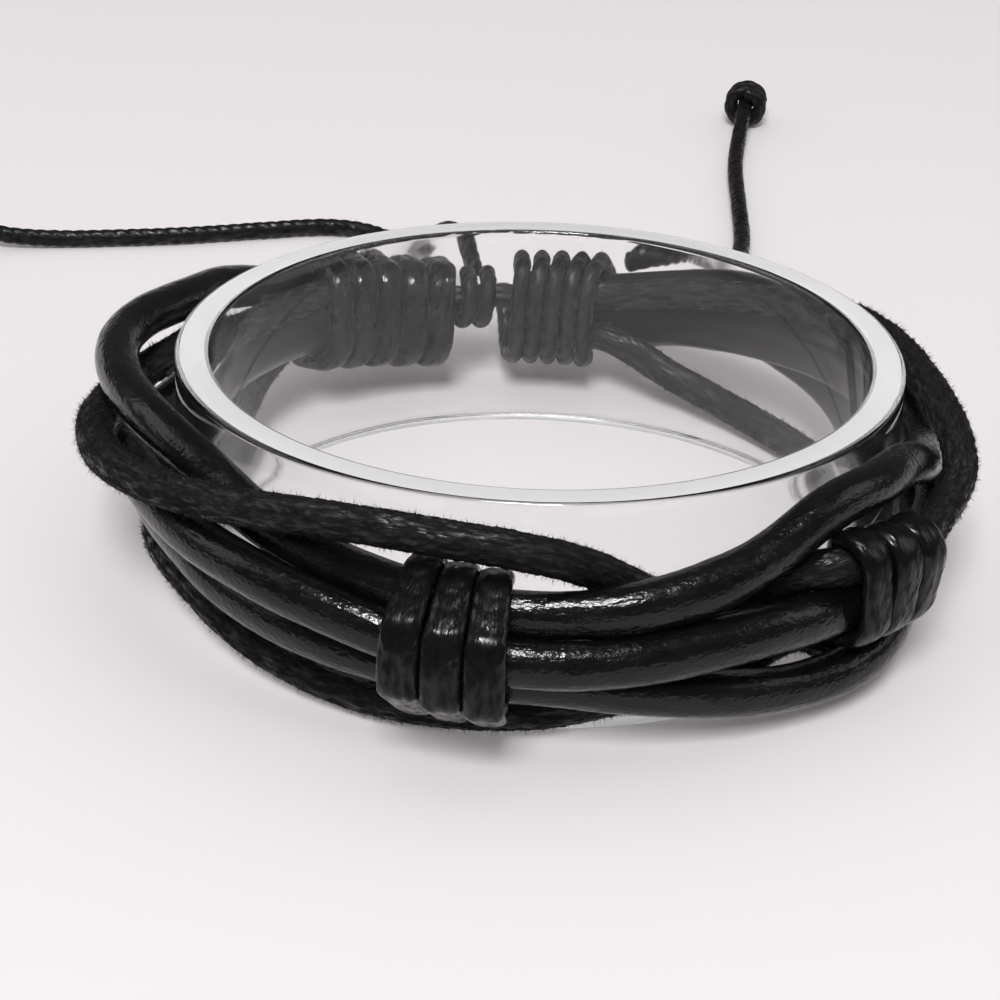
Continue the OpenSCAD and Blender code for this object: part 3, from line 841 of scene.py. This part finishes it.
LACE_W, LACE_T, LACE_PITCH, LACE_GAP = 2.55, 1.2, 2.7, 0.28
BINDING_W, BINDING_T, BINDING_PITCH = 2.95, 1.5, 3.15
lace_winding("front_wrap", LEATHERS,
             middle=-8.4, turns=2.8, pitch=LACE_PITCH,
             width=LACE_W, thickness=LACE_T, gap=LACE_GAP,
             seed=61, fuzz=900, rounding=1)
lace_winding("side_wrap", ["leather_strand_middle", "cotton_strand_upper"],
             middle=46.6, turns=2.8, pitch=LACE_PITCH + 0.1,
             width=LACE_W + 0.1, thickness=LACE_T - 0.35, gap=LACE_GAP + 0.3,
             seed=64, fuzz=700, rounding=0.15)
lace_winding("left_end_binding", STRANDS,
             middle=-151.9, turns=5, pitch=BINDING_PITCH,
             width=BINDING_W, thickness=BINDING_T, gap=LACE_GAP + 0.04,
             seed=67, fuzz=900, start=0, straight=False)


def cord_winding(name, names, middle, turns, pitch, gap, seed):
    line, spoke, _, _ = winding_line(names, middle, turns, pitch, 2 * CORD_R, gap)
    _, line, spoke = evenly(line, CORD_STEP, spoke)
    piece, _ = twisted_cord(name, smoothed(line, CORD_SMOOTH), spoke, CORD_R, seed, fuzz=300)
    add(piece, name)


cord_winding("right_sliding_knot", STRANDS, middle=178.2, turns=5,
             pitch=2 * CORD_R + 0.2, gap=LACE_GAP + 0.1, seed=71)
cord_winding("left_sliding_knot", CLOSING_CORDS, middle=191.1, turns=2,
             pitch=2 * CORD_R + 0.25, gap=LACE_GAP - 0.08, seed=74)
for number, name in enumerate(CLOSING_CORDS):
    table, radius = CORES[name]
    _, line, outward, _ = strand_line(table, CORD_STEP, table[0][0], table[-1][0])
    add(twisted_cord(name, line, outward, radius, 81 + number)[0], name)


# The clear ring, turned with rounded edges
RING_OUTER, RING_WALL, RING_HEIGHT, RING_EDGE = 30.0, 2.8, 19.0, 0.4
# The chamfer at the foot of the inner wall, the points of a rounded edge and of a wall's
# height, and the segments round the ring
FOOT_CHAMFER = 0.05
EDGE_POINTS, WALL_POINTS, RING_SEGMENTS = 7, 12, 288


def ring_profile():
    inner = RING_OUTER - RING_WALL
    e = RING_EDGE
    low, high = e, RING_HEIGHT - e
    left, right = inner + e, RING_OUTER - e
    quarter = np.linspace(0, math.pi / 2, EDGE_POINTS)
    profile = [[inner, z] for z in np.linspace(FOOT_CHAMFER, high, WALL_POINTS)[:-1]]
    profile += [[left - e * math.cos(a), high + e * math.sin(a)] for a in quarter]
    profile += [[right + e * math.sin(a), high + e * math.cos(a)] for a in quarter]
    profile += [[RING_OUTER, z] for z in np.linspace(high, low, WALL_POINTS)[1:-1]]
    profile += [[right + e * math.cos(a), low - e * math.sin(a)] for a in quarter]
    profile += [[inner + FOOT_CHAMFER, 0.0]]
    return np.array(profile)


def clear_ring():
    profile = ring_profile()
    segments, n = RING_SEGMENTS, len(profile)
    turn = round_turn(segments)[:, None]
    points = np.stack([np.cos(turn) * profile[:, 0], np.sin(turn) * profile[:, 0],
                       np.broadcast_to(profile[:, 1], (segments, n))], -1).reshape(-1, 3)
    i, j = np.meshgrid(np.arange(segments), np.arange(n), indexing="ij")
    a, b = (i + 1) % segments, (j + 1) % n
    quads = np.stack([i * n + j, i * n + b, a * n + b, a * n + j], -1).reshape(-1, 4)
    piece = mesh_object("display_ring_clear", points, [quads], CLEAR)
    piece.data.materials.append(CLEAR_RIM)
    heights = profile[:, 1]
    level = np.isclose(heights, np.roll(heights, -1))
    sawn = level & (np.isclose(heights, RING_HEIGHT) | np.isclose(heights, 0))
    piece.data.polygons.foreach_set("material_index", np.tile(sawn, segments).astype(np.int32))
    add(piece, "display_ring")


clear_ring()


# Floor, light and surroundings. The floor is a hair below the ring's foot, so that the two
# don't coincide, and it reaches far, in metres
FLOOR_DROP = 0.05
FLOOR_HALF = 4.0
FLOOR_COLOUR = (0.80, 0.765, 0.775, 1)


def floor_material():
    material, _, shader = nodes_of("studio_floor")
    shader.inputs["Base Color"].default_value = FLOOR_COLOUR
    shader.inputs["Roughness"].default_value = 0.6
    return material


def add_floor():
    mesh = bpy.data.meshes.new("studio_floor")
    z = -FLOOR_DROP * MM
    corners = [(-1, -1), (1, -1), (1, 1), (-1, 1)]
    mesh.from_pydata([(x * FLOOR_HALF, y * FLOOR_HALF, z) for x, y in corners], [], [(0, 1, 2, 3)])
    mesh.materials.append(floor_material())
    floor = bpy.data.objects.new("studio_floor", mesh)
    scene.collection.objects.link(floor)


# Lamps, aimed at the middle of the ring: place and size in metres, power in watts, and
# whether glossy surfaces mirror them. Two stand high, and two are the pale walls of a room
LAMPS = {
    "overhead_lamp": ((-0.05, -0.3, 1.15), (0.3, 0.26), 19, True),
    "front_softbox": ((-0.1, -1.35, 1.22), (0.5, 0.5), 33, False),
    "left_wall": ((-1.0, 0.3, 0.8), (0.8, 0.8), 2.8, True),
    "right_wall": ((1.0, 0.2, 0.8), (0.7, 0.7), 2, True)}


def softbox(name, at, size, power, mirrored):
    """A lamp that is seen in glossy surfaces, or else one that only lights up the matt ones."""
    data = bpy.data.lights.new(name, "AREA")
    data.shape = "RECTANGLE"
    data.size, data.size_y = size
    data.energy = power
    light = bpy.data.objects.new(name, data)
    scene.collection.objects.link(light)
    light.visible_glossy = mirrored
    light.visible_diffuse = not mirrored
    light.visible_transmission = False
    z = unit(np.array(at))
    x = unit(np.cross([0.0, 1.0, 0.0], z))
    light.matrix_world = pose(x, np.cross(z, x), z, at)


# The sky lights the scene from these colours, at the horizon and overhead. The camera sees
# the pale one, and glossy surfaces mirror the dim one
SKY_COLOURS = (0.44, 0.428, 0.432), (0.52, 0.512, 0.516)
PALE_COLOUR = (0.76, 0.725, 0.74, 1)
DIM_COLOUR = (0.10, 0.098, 0.102, 1)


def add_world():
    world = bpy.data.worlds.new("studio")
    scene.world = world
    world.use_nodes = True
    tree = world.node_tree
    background = tree.nodes["Background"]
    coordinate = new(tree, "ShaderNodeTexCoord")
    split = new(tree, "ShaderNodeSeparateXYZ")
    tree.links.new(coordinate.outputs["Generated"], split.inputs[0])
    sky = ramp(tree, split.outputs["Z"], 0.0, 1.0, SKY_COLOURS)
    tree.links.new(sky, background.inputs["Color"])
    background.inputs["Strength"].default_value = 1.0
    pale = new(tree, "ShaderNodeBackground")
    pale.inputs["Color"].default_value = PALE_COLOUR
    dim = new(tree, "ShaderNodeBackground")
    dim.inputs["Color"].default_value = DIM_COLOUR
    path = new(tree, "ShaderNodeLightPath")
    seen = new(tree, "ShaderNodeMixShader")
    mirrored = new(tree, "ShaderNodeMixShader")
    tree.links.new(path.outputs["Is Camera Ray"], seen.inputs[0])
    tree.links.new(background.outputs[0], seen.inputs[1])
    tree.links.new(pale.outputs[0], seen.inputs[2])
    off_surfaces = new(tree, "ShaderNodeMath", operation="SUBTRACT", use_clamp=True)
    tree.links.new(path.outputs["Is Glossy Ray"], off_surfaces.inputs[0])
    tree.links.new(path.outputs["Is Transmission Ray"], off_surfaces.inputs[1])
    tree.links.new(off_surfaces.outputs[0], mirrored.inputs[0])
    tree.links.new(seen.outputs[0], mirrored.inputs[1])
    tree.links.new(dim.outputs[0], mirrored.inputs[2])
    tree.links.new(mirrored.outputs[0], tree.nodes["World Output"].inputs["Surface"])


add_floor()
for name, settings in LAMPS.items():
    softbox(name, *settings)
add_world()
scene.view_settings.view_transform = "Standard"
